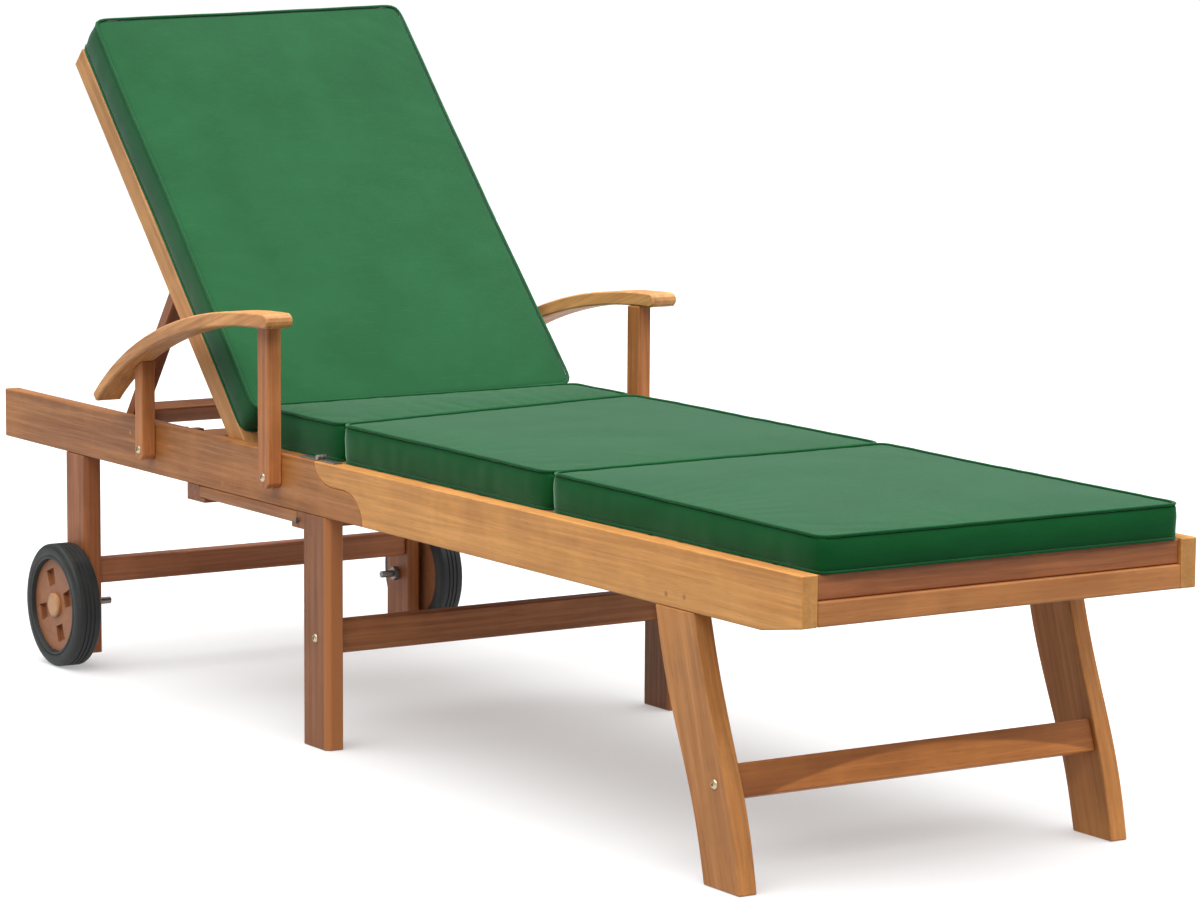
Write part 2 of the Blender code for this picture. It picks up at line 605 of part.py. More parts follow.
    # backrest stile, rounded at the pivot, with its pivot peg
    tip = [back_point(STILE_HALF * math.cos(math.radians(a)), STILE_HALF * math.sin(math.radians(a)))
           for a in range(270, 89, -20)]
    stile_outline = tip + [back_point(STILE_LENGTH, STILE_HALF), back_point(STILE_LENGTH, -STILE_HALF)]
    stile = board("back_stile_" + tag, stile_outline, side * STILE_IN, side * STILE_OUT, "x", TEAK_LIGHT, 0.0012)
    weld(stile, rod("peg", side * (STILE_IN + 0.005), side * (RAIL_IN + 0.012), BACK_PIVOT_Y, BACK_PIVOT_Z,
                    PIVOT_RADIUS))
    hinge_y, hinge_z = back_point(PROP_REACH, PROP_SET)
    carve(stile, rod("hole", side * (STILE_IN - 0.01), side * (STILE_IN + 0.016), hinge_y, hinge_z,
                     PROP_PIN_RADIUS + GAP))

    # prop leg with its peg in the stile and a rounded foot
    foot_y, foot_z, slope = prop_foot(RECLINE)
    half = PROP_DEPTH / 2

    def prop_point(along, out):
        return (hinge_y + along * math.cos(slope) + out * math.sin(slope),
                hinge_z - along * math.sin(slope) + out * math.cos(slope))

    head = [prop_point(half * math.cos(math.radians(a)), half * math.sin(math.radians(a)))
            for a in range(270, 89, -30)]
    foot = [prop_point(PROP_LENGTH + half * math.cos(math.radians(a)), half * math.sin(math.radians(a)))
            for a in range(90, -91, -30)]
    leg = board("prop_leg_" + tag, head + foot, side * PROP_IN, side * PROP_OUT, "x", TEAK_DARK, 0.0010)
    weld(leg, rod("peg", side * (PROP_OUT - 0.005), side * (STILE_IN + 0.014), hinge_y, hinge_z,
                  PROP_PIN_RADIUS))
    return prop_point


def build_cross_pieces(prop_point):
    """Everything that spans the lounger or lies on its centre line."""
    reach = LEG_IN - GAP
    rear_front = REAR_LEG_Y - LEG_WIDTH / 2 + 0.006
    mid = box("stretcher_mid", -reach, reach, MID_LEG_Y - 0.014, MID_LEG_Y + 0.010, 0.1228, 0.1642, TEAK)
    box("stretcher_rear", -reach, reach, rear_front, rear_front + STRETCHER_THICKNESS, 0.1176, 0.1527, TEAK)

    # front stretcher, tilted to follow the legs
    tilt = math.radians(19)
    centre_y = FRONT_STRETCHER_Y
    centre_z = FRONT_STRETCHER_Z

    def tilted(a, b):
        return (centre_y + a * math.cos(tilt) + b * math.sin(tilt),
                centre_z - a * math.sin(tilt) + b * math.cos(tilt))

    profile = [tilted(-0.0130, -0.0190), tilted(0.0110, -0.0190), tilted(0.0110, 0.0190), tilted(-0.0130, 0.0190)]
    front = board("stretcher_front", profile, -reach, reach, "x", TEAK_LIGHT)
    for side in (-1, 1):
        carve(mid, bolt_hole(side, RAIL_OUT, MID_LEG_Y, 0.1430, 0.048))
        carve(front, bolt_hole(side, RAIL_OUT, centre_y, centre_z, 0.048))

    inner = RAIL_IN - GAP
    cross_low = RAIL_BOTTOM + RAIL_NOSE_RISE
    cross_split = cross_low + 0.48 * (RAIL_TOP - cross_low)
    box("cross_rail_front_lower", -inner, inner, -HALF_LENGTH, -HALF_LENGTH + 0.024, cross_low, cross_split,
        TEAK_LIGHT)
    box("cross_rail_front_upper", -inner, inner, -HALF_LENGTH + 0.005, -HALF_LENGTH + 0.026,
        cross_split + GAP, RAIL_TOP - 0.0010, TEAK_DARK)
    board_start = BACK_PIVOT_Y + CROSS_BOARD_START
    box("prop_cross_board", -(RACK_IN - GAP), RACK_IN - GAP, board_start, board_start + CROSS_BOARD_WIDTH,
        BACK_PIVOT_Z - 0.0275, BACK_PIVOT_Z - 0.0140, TEAK_LIGHT)

    # slatted panels
    slat_panel("slats_foot", -HALF_LENGTH + 0.0290, HINGE_Y - 0.0080, 17, SLAT_TOP, TEAK)
    slat_panel("slats_seat", HINGE_Y + 0.0080, BACK_PIVOT_Y - 0.0240, 4, SLAT_TOP, TEAK)
    half = STILE_IN - GAP
    slats_top = STILE_HALF - 0.0003
    slat_panel("slats_back", 0.0400, STILE_LENGTH - 0.0040, 11, slats_top, TEAK, place=back_point,
               half_width=half)

    # crossbar between the prop's feet
    start = PROP_LENGTH - BAR_BEFORE
    end = PROP_LENGTH + BAR_PAST
    bar = [prop_point(start, -PROP_DEPTH / 2), prop_point(end, -PROP_DEPTH / 2),
           prop_point(end, PROP_DEPTH / 2), prop_point(start, PROP_DEPTH / 2)]
    board("prop_crossbar", bar, -(PROP_IN - GAP), PROP_IN - GAP, "x", TEAK)


def build_tray():
    """Two runners under the rails and a tray that slides out between them."""
    ledge = 0.0150
    top = RAIL_BOTTOM - GAP
    step = TRAY_BOTTOM - GAP
    front_y = MID_LEG_Y + LEG_WIDTH / 2 + GAP
    near_y = TRAY_START_Y - 0.0008
    far_y = TRAY_END_Y + 0.0008
    front = [(front_y, RUNNER_BOTTOM), (near_y + ledge, RUNNER_BOTTOM), (near_y + ledge, step), (near_y, step),
             (near_y, top), (front_y, top)]
    end_y = far_y + 0.0350
    rear = [(far_y - ledge, RUNNER_BOTTOM), (end_y, RUNNER_BOTTOM), (end_y, top), (far_y, top), (far_y, step),
            (far_y - ledge, step)]
    board("tray_runner_front", front, -RAIL_OUT + 0.001, RAIL_OUT - 0.001, "x", TEAK, 0)
    board("tray_runner_rear", rear, -RAIL_OUT + 0.001, RAIL_OUT - 0.001, "x", TEAK, 0)
    bm = bmesh.new()
    count = 4
    width = 0.0600
    start = TRAY_START_Y
    space = (TRAY_END_Y - start - count * width) / (count - 1)
    for k in range(count):
        y0 = start + k * (width + space)
        prism(bm, rectangle(y0, y0 + width, TRAY_BOTTOM, TRAY_TOP), -TRAY_FRONT_X, TRAY_BACK_X, "x")
    bmesh.ops.recalc_face_normals(bm, faces=bm.faces[:])
    panel = finish("tray_panel", bm, TEAK)
    for x in (-TRAY_FRONT_X + 0.0200, -0.0300, TRAY_BACK_X - 0.0300):
        weld(panel, box("cleat", x, x + 0.0240, start + 0.020, TRAY_END_Y - 0.020, TRAY_BOTTOM + 0.0010 - 0.0110,
                        TRAY_BOTTOM + 0.0010, TEAK, 0))
    box("tray_front_edge", -RAIL_OUT, -TRAY_FRONT_X - GAP, start, TRAY_END_Y, TRAY_BOTTOM,
        RAIL_BOTTOM - 2 * GAP, TEAK)


def cushion(name, profile):
    bm = bmesh.new()
    prism(bm, profile, -PAD_HALF_WIDTH, PAD_HALF_WIDTH, "x")
    bmesh.ops.recalc_face_normals(bm, faces=bm.faces[:])
    bmesh.ops.bevel(bm, geom=bm.edges[:], offset=PAD_ROUND, offset_type="OFFSET", segments=2, profile=0.5,
                    affect="EDGES", clamp_overlap=True)
    return finish(name, bm, GREEN, 0.9)


def build_cushions():
    cushion("pad_seat", rectangle(HINGE_Y + GAP, SEAT_PAD_END_Y, PAD_BOTTOM, PAD_TOP))
    cushion("pad_mid", rectangle(PAD_SPLIT_Y + GAP, HINGE_Y, PAD_BOTTOM, PAD_TOP))
    cushion("pad_foot", rectangle(-HALF_LENGTH, PAD_SPLIT_Y, PAD_BOTTOM, PAD_TOP))
    low = STILE_HALF + GAP
    cushion("pad_back", back_rectangle(BACK_PAD_START, BACK_PAD_END, low, low + PAD_THICKNESS))


def main():
    clear_scene()
    build_side(-1, "near")
    prop_point = build_side(1, "far")
    build_cross_pieces(prop_point)
    build_tray()
    build_cushions()


main()
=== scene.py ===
"""Looks for the reclining wooden lounger: oiled teak, boxed cushions with piping, rubber wheels.

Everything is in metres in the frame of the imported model: the head end is +Y, the foot end is -Y,
the near side is -X and Z is up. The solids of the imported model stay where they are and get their
wood and metal here. The cushions, wheels and bolt heads are built here in full detail.
"""
import json
import math
import random

import bmesh
import bpy
from mathutils import Matrix, Vector, noise


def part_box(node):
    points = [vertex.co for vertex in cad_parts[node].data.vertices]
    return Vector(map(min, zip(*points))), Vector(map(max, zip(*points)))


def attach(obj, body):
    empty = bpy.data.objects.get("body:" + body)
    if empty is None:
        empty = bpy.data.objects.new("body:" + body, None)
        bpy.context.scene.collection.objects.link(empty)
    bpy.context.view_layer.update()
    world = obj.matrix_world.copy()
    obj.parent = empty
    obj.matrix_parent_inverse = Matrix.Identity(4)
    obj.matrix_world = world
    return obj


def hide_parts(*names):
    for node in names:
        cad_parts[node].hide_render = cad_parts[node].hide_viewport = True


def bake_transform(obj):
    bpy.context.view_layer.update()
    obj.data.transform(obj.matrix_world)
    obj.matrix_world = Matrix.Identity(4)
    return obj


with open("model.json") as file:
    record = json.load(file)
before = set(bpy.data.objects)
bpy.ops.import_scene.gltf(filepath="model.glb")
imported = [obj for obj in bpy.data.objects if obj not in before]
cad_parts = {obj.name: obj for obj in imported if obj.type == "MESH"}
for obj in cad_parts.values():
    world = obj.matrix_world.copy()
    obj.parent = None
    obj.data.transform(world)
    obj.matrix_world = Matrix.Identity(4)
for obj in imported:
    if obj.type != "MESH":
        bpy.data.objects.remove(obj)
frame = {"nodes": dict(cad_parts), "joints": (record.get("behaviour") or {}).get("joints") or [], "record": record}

bpy.context.view_layer.update()
NODES = frame["nodes"]
JOINTS = {joint["name"]: joint for joint in frame["joints"]}
BODY_OF = {n: body for body, members in frame["record"]["behaviour"]["bodies"].items() for n in members}
SIDES = ((-1, "near"), (1, "far"))

# ---------------------------------------------------------------- places taken from the frame
PIVOT = Vector(JOINTS["back_recline"]["pos_m"])
RECLINE = -math.radians(JOINTS["back_recline"]["range_deg"][0])
UP_BACK = Vector((0, math.cos(RECLINE), math.sin(RECLINE)))
OUT_BACK = Vector((0, -math.sin(RECLINE), math.cos(RECLINE)))
FOLD = Vector(JOINTS["foot_fold"]["pos_m"])
BACK_SLATS_START = 0.040     # the back panel's lowest slat, from the pivot
BACK_SLATS_REACH = 0.656     # and the stretch that its slats cover

# ---------------------------------------------------------------- cushion sizes
PIPING_RADIUS = 0.0021
PAD_CELL = 0.0085
CORNER_RADIUS = 0.0130
TOP_CROWN = 0.0065           # the simulated swelling is scaled to this on the top
SIDE_CROWN = 0.0042          # and to this on the sides
CREASE_SMOOTHING = 12        # the boxing is stitched taut, so its creases are faint
PAD_SPREAD = 0.0038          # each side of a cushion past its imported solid
SEAM_NEAR_SHIFT = -0.0270    # the short pad's seam, from the fold line, at the near and the far side
SEAM_FAR_SHIFT = 0.0600
SPLIT_SKEW = 0.0090          # the mid pad's other seam is a little askew too
FOOT_OVERHANG = 0.0030
SEAT_END_Y = 0.2780
TOP_FALL = 0.0085            # cushion tops at the foot end lie this much lower
BACK_SKEW = 0.0110           # the back cushion's top end rises towards the far side
BACK_DROOP = 0.0080          # and its bottom end sinks towards the near side
SEAT_END_SKEW = 0.0060
END_TOUCH = 0.0022           # how far an end that meets its neighbour bulges to touch it
FRONT_ARCH = (0.02, 0.215, 0.1060, 0.0260)   # arched figure of the front stretcher: middle,
#                                              half span, foot and rise


# ---------------------------------------------------------------- small helpers
def tone(red, green, blue):
    """A display colour, 0 to 255, as a linear one."""
    linear = []
    for value in (red, green, blue):
        share = value / 255
        linear.append(share / 12.92 if share <= 0.04045 else ((share + 0.055) / 1.055) ** 2.4)
    return (*linear, 1.0)


def scaled(colour, factor):
    return (*(min(1.0, c * factor) for c in colour[:3]), 1.0)


def object_from(bm, name, *materials):
    mesh = bpy.data.meshes.new(name)
    bm.to_mesh(mesh)
    bm.free()
    obj = bpy.data.objects.new(name, mesh)
    bpy.context.scene.collection.objects.link(obj)
    for material in materials:
        mesh.materials.append(material)
    return obj


def smooth(obj, angle=35):
    """Smooth shading, except over edges sharper than the angle."""
    bm = bmesh.new()
    bm.from_mesh(obj.data)
    for face in bm.faces:
        face.smooth = True
    for edge in bm.edges:
        if len(edge.link_faces) == 2 and edge.calc_face_angle() > math.radians(angle):
            edge.smooth = False
    bm.to_mesh(obj.data)
    bm.free()
    return obj


def applied(obj):
    """The object's mesh with its modifiers applied."""
    graph = bpy.context.evaluated_depsgraph_get()
    mesh = bpy.data.meshes.new_from_object(obj.evaluated_get(graph))
    obj.modifiers.clear()
    previous = obj.data
    obj.data = mesh
    bpy.data.meshes.remove(previous)
    return obj


# ---------------------------------------------------------------- material helpers
class Tree:
    """A short way to add and join shader nodes."""

    def __init__(self, name):
        self.material = bpy.data.materials.new(name)
        self.material.use_nodes = True
        self.tree = self.material.node_tree
        self.shader = self.tree.nodes["Principled BSDF"]

    def add(self, kind, **settings):
        made = self.tree.nodes.new("ShaderNode" + kind)
        for key, value in settings.items():
            setattr(made, key, value)
        return made

    def put(self, socket, value):
        if isinstance(value, bpy.types.NodeSocket):
            self.tree.links.new(value, socket)
        else:
            socket.default_value = value

    def math(self, operation, first, second=0.0, clamp=False):
        made = self.add("Math", operation=operation, use_clamp=clamp)
        self.put(made.inputs[0], first)
        self.put(made.inputs[1], second)
        return made.outputs[0]

    def vector(self, operation, first, second):
        made = self.add("VectorMath", operation=operation)
        self.put(made.inputs[0], first)
        self.put(made.inputs[1], second)
        return made.outputs["Value" if operation == "DOT_PRODUCT" else "Vector"]

    def noise(self, vector, scale, detail=3.0, roughness=0.5, distortion=0.0):
        made = self.add("TexNoise")
        self.put(made.inputs["Vector"], vector)
        made.inputs["Scale"].default_value = scale
        made.inputs["Detail"].default_value = detail
        made.inputs["Roughness"].default_value = roughness
        made.inputs["Distortion"].default_value = distortion
        return made.outputs["Fac"]

    def spread(self, value, low, high, to_low=0.0, to_high=1.0):
        """Maps low..high onto to_low..to_high, clamped."""
        made = self.add("MapRange")
        for socket, number in zip(made.inputs[:5], (value, low, high, to_low, to_high)):
            self.put(socket, number)
        return made.outputs[0]

    def mix(self, factor, first, second, blend="MIX"):
        made = self.add("Mix", data_type="RGBA", blend_type=blend)
        self.put(made.inputs[0], factor)
        self.put(made.inputs[6], first)
        self.put(made.inputs[7], second)
        return made.outputs[2]

    def bump(self, height, distance, strength=1.0, normal=None):
        made = self.add("Bump")
        made.inputs["Strength"].default_value = strength
        made.inputs["Distance"].default_value = distance
        self.put(made.inputs["Height"], height)
        if normal is not None:
            self.put(made.inputs["Normal"], normal)
        return made.outputs["Normal"]

    def set(self, **sockets):
        for key, value in sockets.items():
            self.put(self.shader.inputs[key.replace("_", " ")], value)


def wood(name, colour, grain, seed, slat=None, shine=0.42, figure=0.50, arch=None, painted_light_band=None):
    """Oiled teak. The grain runs along a direction. For a slatted panel, slat is the direction
    across the slats, where the first one starts, and the pitch: each slat gets its own tone."""
    t = Tree(name)
    along = Vector(grain).normalized()
    side = Vector((1, 0, 0)) if abs(along.x) < 0.5 else Vector((0, 1, 0))
    up = along.cross(side).normalized()
    across = up.cross(along).normalized()
    place = t.add("TexCoord").outputs["Object"]
    parts = [t.vector("DOT_PRODUCT", place, axis) for axis in (along, across, up)]
    place_along, _, place_up = parts
    tint = 0.5
    if slat:
        direction, start, pitch = slat
        travel = t.vector("DOT_PRODUCT", place, Vector(direction))
        step = t.math("DIVIDE", t.math("SUBTRACT", travel, start), pitch)
        slot = t.math("FLOOR", step)
        random_tone = t.add("TexWhiteNoise", noise_dimensions="1D")
        t.put(random_tone.inputs["W"], slot)
        tint = random_tone.outputs["Value"]
        parts[0] = t.math("ADD", parts[0], t.math("MULTIPLY", tint, 7.0))
    offset = random.Random(seed)
    spots = [t.math("ADD", part, offset.uniform(0, 9)) for part in parts]

    def stretched(lengthwise, crosswise):
        made = t.add("CombineXYZ")
        for socket, spot, scale in zip(made.inputs, spots, (lengthwise, crosswise, crosswise)):
            t.put(socket, t.math("MULTIPLY", spot, scale))
        return made.outputs[0]

    broad = t.noise(stretched(1.3, 17), 1.0, 2.0, 0.5, 0.6)
    heart = t.spread(t.noise(stretched(1.5, 24.0), 1.0, 3.0, 0.55, 1.1), 0.51, 0.61)
    wave = t.add("TexWave", wave_type="BANDS", bands_direction="Y", wave_profile="SAW")
    t.put(wave.inputs["Vector"], stretched(0.9, 9.0))
    wave.inputs["Scale"].default_value = 1.5
    wave.inputs["Distortion"].default_value = 9.0
    wave.inputs["Detail"].default_value = 2.0
    wave.inputs["Detail Scale"].default_value = 0.9
    rings = wave.outputs["Fac"]
    streaks = t.noise(stretched(4.0, 170), 1.0, 5.0, 0.62, 0.3)
    veins = t.spread(t.noise(stretched(2.2, 62.0), 1.0, 3.0, 0.5, 0.8), 0.545, 0.62)
    pores = t.spread(t.noise(stretched(48.0, 1100), 1.0, 1.0, 0.4), 0.60, 0.72)
    blotch = t.noise(stretched(9.0, 9.0), 1.0, 3.0, 0.6)

    dark = scaled(colour, 0.50)
    pale = scaled(colour, 1.34)
    warm = (colour[0] * 0.86, colour[1] * 0.76, colour[2] * 0.66, 1)
    brown = (colour[0] * 0.50, colour[1] * 0.40, colour[2] * 0.34, 1)
    shade = t.mix(t.spread(broad, 0.30, 0.72), colour, warm)
    shade = t.mix(t.math("MULTIPLY", heart, figure), shade, brown)
    shade = t.mix(t.math("MULTIPLY", t.spread(rings, 0.35, 1.0), 0.30), shade, dark)
    shade = t.mix(t.math("MULTIPLY", veins, 0.84 * figure), shade, brown)
    shade = t.mix(t.math("MULTIPLY", t.spread(streaks, 0.52, 0.66), 0.22 + 0.40 * figure), shade, brown)
    shade = t.mix(t.math("MULTIPLY", t.spread(streaks, 0.49, 0.36), 0.22 + 0.40 * figure), shade, pale)
    shade = t.mix(t.math("MULTIPLY", t.spread(blotch, 0.45, 0.66), 0.34), shade, pale)
    shade = t.mix(t.math("MULTIPLY", t.spread(blotch, 0.45, 0.30), 0.22), shade, warm)
    shade = t.mix(t.math("MULTIPLY", pores, 0.26), shade, scaled(colour, 0.30))
    if slat:
        shade = t.mix(t.spread(tint, 0.0, 1.0, 0.0, 0.55), shade, dark)

    if arch:
        centre, half_span, foot, rise = arch
        bow = t.math("POWER", t.math("DIVIDE", t.math("SUBTRACT", place_along, centre), half_span), 2.0)
        line = t.math("MULTIPLY", t.math("SUBTRACT", 1.0, bow), rise)
        ripple = t.math("MULTIPLY", t.math("SUBTRACT", broad, 0.5), 0.010)
        over = t.math("SUBTRACT", t.math("SUBTRACT", place_up, foot), t.math("ADD", line, ripple))
        shade = t.mix(t.spread(over, -0.001, 0.0025, 0.0, 0.80), shade, (0.46, 0.40, 0.36, 1), "MULTIPLY")
    # a band along one face painted lighter: painted light on the face that the light reaches
    if painted_light_band:
        start, end = painted_light_band
        wavy = t.math("ADD", place_up, t.math("MULTIPLY", t.math("SUBTRACT", broad, 0.5), 0.012))
        shade = t.mix(t.spread(wavy, start, end, 0.0, 0.85), shade, scaled(colour, 1.9))

    # darker end grain, and edges painted paler: partly wear, partly a painted highlight
    facing = t.vector("DOT_PRODUCT", t.add("TexCoord").outputs["Normal"], along)
    end = t.spread(t.math("ABSOLUTE", facing), 0.75, 0.95)
    shade = t.mix(t.math("MULTIPLY", end, 0.45), shade, dark)
    rounded = t.add("Bevel", samples=4)
    rounded.inputs["Radius"].default_value = 0.0014
    flat_normal = t.add("NewGeometry").outputs["Normal"]
    edge = t.spread(t.vector("DOT_PRODUCT", rounded.outputs[0], flat_normal), 0.995, 0.90)
    rub_and_highlight = t.spread(t.noise(place, 60.0, 2.0), 0.35, 0.60)
    # edges painted paler where the rounded normal bends: partly wear, partly a painted highlight
    shade = t.mix(t.math("MULTIPLY", t.math("MULTIPLY", edge, rub_and_highlight), 0.45), shade, scaled(colour, 1.5))

    height = t.math("SUBTRACT", t.math("MULTIPLY", streaks, 0.6), t.math("MULTIPLY", pores, 0.8))
    t.set(Base_Color=shade,
          Roughness=t.spread(streaks, 0.3, 0.7, shine, shine + 0.16),
          Normal=t.bump(height, 0.00035, 0.55, rounded.outputs[0]))
    t.set(Specular_IOR_Level=0.42)
    return t.material


def fabric(name, colour, nap, nap_spread, bloom, tilt=0.0, thread=0.0011):
    """Tightly woven outdoor canvas. Tilt turns the weave with a cushion that leans back, and the
    nap is the pale bloom of its fibres when they are seen from low down."""
    t = Tree(name)
    turn = Matrix.Rotation(-tilt, 3, "X")
    place = t.add("TexCoord")
    axes = [Vector(row) for row in turn]
    spot = [t.vector("DOT_PRODUCT", place.outputs["Object"], axis) for axis in axes]
    face = [t.math("ABSOLUTE", t.vector("DOT_PRODUCT", place.outputs["Normal"], axis)) for axis in axes]
    ripple = [t.math("SINE", t.math("MULTIPLY", s, 2 * math.pi / thread)) for s in spot]
    pairs = ((1, 2, 0), (0, 2, 1), (0, 1, 2))
    weave = None
    for a, b, c in pairs:
        product = t.math("MULTIPLY", t.math("MULTIPLY", ripple[a], ripple[b]), face[c])
        weave = product if weave is None else t.math("ADD", weave, product)
    soft = t.noise(place.outputs["Object"], 9.0, 3.0, 0.55)
    fine = t.noise(place.outputs["Object"], 420.0, 2.0, 0.6)
    slub = t.add("CombineXYZ")
    for socket, part, scale in zip(slub.inputs, spot, (30.0, 900.0, 900.0)):
        t.put(socket, t.math("MULTIPLY", part, scale))
    slubs = t.noise(slub.outputs[0], 1.0, 1.0, 0.4)
    shade = t.mix(t.spread(soft, 0.3, 0.7), scaled(colour, 0.90), scaled(colour, 1.12))
    shade = t.mix(t.math("MULTIPLY", t.spread(weave, -0.2, 0.9), 0.28), shade, scaled(colour, 1.7))
    shade = t.mix(t.math("MULTIPLY", t.spread(slubs, 0.62, 0.78), 0.30), shade, scaled(colour, 1.8))
    shade = t.mix(t.math("MULTIPLY", t.spread(fine, 0.5, 0.8), 0.25), shade, scaled(colour, 0.6))
    height = t.math("ADD", weave, t.math("MULTIPLY", fine, 0.8))
    t.set(Base_Color=shade, Roughness=t.spread(fine, 0.2, 0.8, 0.80, 0.95),
          Normal=t.bump(height, 0.00012, 0.45))
    t.set(Sheen_Weight=nap, Sheen_Roughness=nap_spread, Sheen_Tint=bloom, Specular_IOR_Level=0.05)
    return t.material


def piping_cloth(name, colour):
    """Bias-cut binding on the cord: fine slanting threads."""
    t = Tree(name)
    place = t.add("TexCoord").outputs["Object"]
    slant = t.vector("DOT_PRODUCT", place, Vector((1, 1, 1)).normalized())
    threads = t.math("SINE", t.math("MULTIPLY", slant, 2 * math.pi / 0.0011))
    shade = t.mix(t.spread(threads, -1, 1), scaled(colour, 0.8), scaled(colour, 1.15))
    t.set(Base_Color=shade, Normal=t.bump(threads, 0.0001, 0.4),
          Roughness=t.spread(threads, -1, 1, 0.82, 0.92))
    t.set(Sheen_Weight=0.10, Sheen_Roughness=0.3, Sheen_Tint=tone(120, 180, 130), Specular_IOR_Level=0.10)
    return t.material


def rubber(name):
    t = Tree(name)
    place = t.add("TexCoord").outputs["Object"]
    grime = t.noise(place, 26.0, 5.0, 0.6)
    grain = t.noise(place, 900.0, 2.0, 0.5)
    shade = t.mix(t.spread(grime, 0.40, 0.75), tone(24, 27, 28), tone(44, 46, 44))
    t.set(Base_Color=shade, Roughness=t.spread(grime, 0.3, 0.7, 0.50, 0.70),
          Normal=t.bump(grain, 0.00018, 0.35))
    t.set(Specular_IOR_Level=0.45)
    return t.material


def moulded(name, colour, gloss=0.45):
    """Moulded plastic with a fine texture, faint flow marks and edges painted paler: partly wear, partly a painted
    highlight.
    """
    t = Tree(name)
    place = t.add("TexCoord").outputs["Object"]
    flow = t.noise(place, 55.0, 3.0, 0.6, 1.2)
    pits = t.noise(place, 1300.0, 2.0, 0.5)
    shade = t.mix(t.spread(flow, 0.35, 0.70), scaled(colour, 0.86), scaled(colour, 1.12))
    rounded = t.add("Bevel", samples=4)
    rounded.inputs["Radius"].default_value = 0.0008
    straight = t.add("NewGeometry").outputs["Normal"]
    edge = t.spread(t.vector("DOT_PRODUCT", rounded.outputs[0], straight), 0.99, 0.88)
    # edges painted paler: partly wear, partly a painted highlight
    shade = t.mix(t.math("MULTIPLY", edge, 0.35), shade, scaled(colour, 1.5))
    t.set(Base_Color=shade, Roughness=t.spread(pits, 0.3, 0.7, gloss, gloss + 0.15),
          Normal=t.bump(pits, 0.00010, 0.35, rounded.outputs[0]))
    return t.material


def plated(name, colour, roughness=0.28):
    """Zinc-plated or brass-plated steel with small scuffs."""
    t = Tree(name)
    place = t.add("TexCoord").outputs["Object"]
    cloud = t.noise(place, 240.0, 3.0, 0.6)
    scuff = t.noise(t.vector("MULTIPLY", place, (900.0, 900.0, 90.0)), 1.0, 2.0, 0.6)
    shade = t.mix(t.spread(cloud, 0.3, 0.7), scaled(colour, 0.82), scaled(colour, 1.08))
    t.set(Base_Color=shade, Roughness=t.spread(scuff, 0.35, 0.75, roughness, roughness + 0.24),
          Normal=t.bump(scuff, 0.00004, 0.30))
    t.set(Metallic=1.0)
    return t.material


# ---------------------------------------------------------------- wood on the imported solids
def stile_direction():
    return UP_BACK


def prop_direction():
    hinge = Vector(JOINTS["prop_swing"]["pos_m"])
    low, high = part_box("prop_crossbar")
    foot = Vector((0, (low.y + high.y) / 2, (low.z + high.z) / 2))
    return (foot - hinge).normalized()


MILD = ("leg_front", "rail_front", "cross_rail_front_lower", "back_stile", "stretcher_front")


def dress_wood():
    """Each board gets its own wood: a colour, a grain direction and its own stretch of grain."""
    raked = Vector((0, -0.30, -1))
    bent = Vector((0, 0.954, -0.299))
    boards = (
        ("rail_rear", (178, 117, 60), (0, 1, 0)),
        ("rail_front", (218, 156, 85), (0, 1, 0)),
        # the mid legs' dark tone is matched to their shaded outer face: painted shade
        ("leg_mid", (142, 88, 48), (0, 0, 1)),
        ("leg_rear", (168, 101, 55), (0, 0, 1)),
        ("leg_front", (196, 132, 70), raked),
        ("stretcher_front", (206, 132, 66), (1, 0, 0)),
        ("stretcher_mid", (172, 112, 67), (1, 0, 0)),
        ("stretcher_rear", (173, 108, 69), (1, 0, 0)),
        ("cross_rail_front_lower", (186, 124, 69), (1, 0, 0)),
        ("cross_rail_front_upper", (163, 99, 55), (1, 0, 0)),
        ("armrest", (232, 168, 106), bent),
        ("arm_post", (196, 126, 73), (0, 0, 1)),
        ("back_stile", (209, 154, 95), stile_direction()),
        ("prop_leg", (150, 94, 57), prop_direction()),
        ("prop_crossbar", (168, 109, 65), (1, 0, 0)),
        ("prop_cross_board", (177, 119, 72), (1, 0, 0)),
        ("prop_rack", (153, 96, 56), (0, 1, 0)),
        ("tray_front_edge", (168, 110, 62), (0, 1, 0)),
        ("tray_runner", (160, 99, 56), (1, 0, 0)),
    )
    seed = 11
    for prefix, colour, grain in boards:
        for name in sorted(NODES):
            if name.startswith(prefix):
                seed += 1
                vary = random.Random(seed).uniform(0.94, 1.06)
                arch = FRONT_ARCH if prefix == "stretcher_front" else None
                figure = 0.22 if prefix in MILD else 0.50
                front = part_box(name)[0].y
                # the front face of the mid legs is painted lighter than the rest of the leg: painted light
                painted_light_band = (front + 0.0080, front + 0.0040) if prefix == "leg_mid" else None
                shade = scaled(tone(*colour), vary)
                look = wood("wood_" + name, shade, grain, seed, figure=figure, arch=arch, painted_light_band=painted_light_band)
                NODES[name].data.materials.clear()
                NODES[name].data.materials.append(look)
    slatted = (
        ("slats_foot", (0, 1, 0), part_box("slats_foot")[0].y, 17),
        ("slats_seat", (0, 1, 0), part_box("slats_seat")[0].y, 4),
        ("tray_panel", (0, 1, 0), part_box("tray_panel")[0].y, 4),
        ("slats_back", UP_BACK, PIVOT.dot(UP_BACK) + BACK_SLATS_START, 11),
    )
    for name, direction, start, count in slatted:
        low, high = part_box(name)
        reach = high.y - low.y if name != "slats_back" else BACK_SLATS_REACH
        slat_width = 0.06 if name == "tray_panel" else 0.05
        gap = (reach - count * slat_width) / (count - 1)
        pitch = (0.06 if name == "tray_panel" else 0.05) + gap
        slats = (direction, start - gap / 2, pitch)
        look = wood("wood_" + name, tone(186, 128, 84), (1, 0, 0), 90 + count, slats)
        NODES[name].data.materials.clear()
        NODES[name].data.materials.append(look)


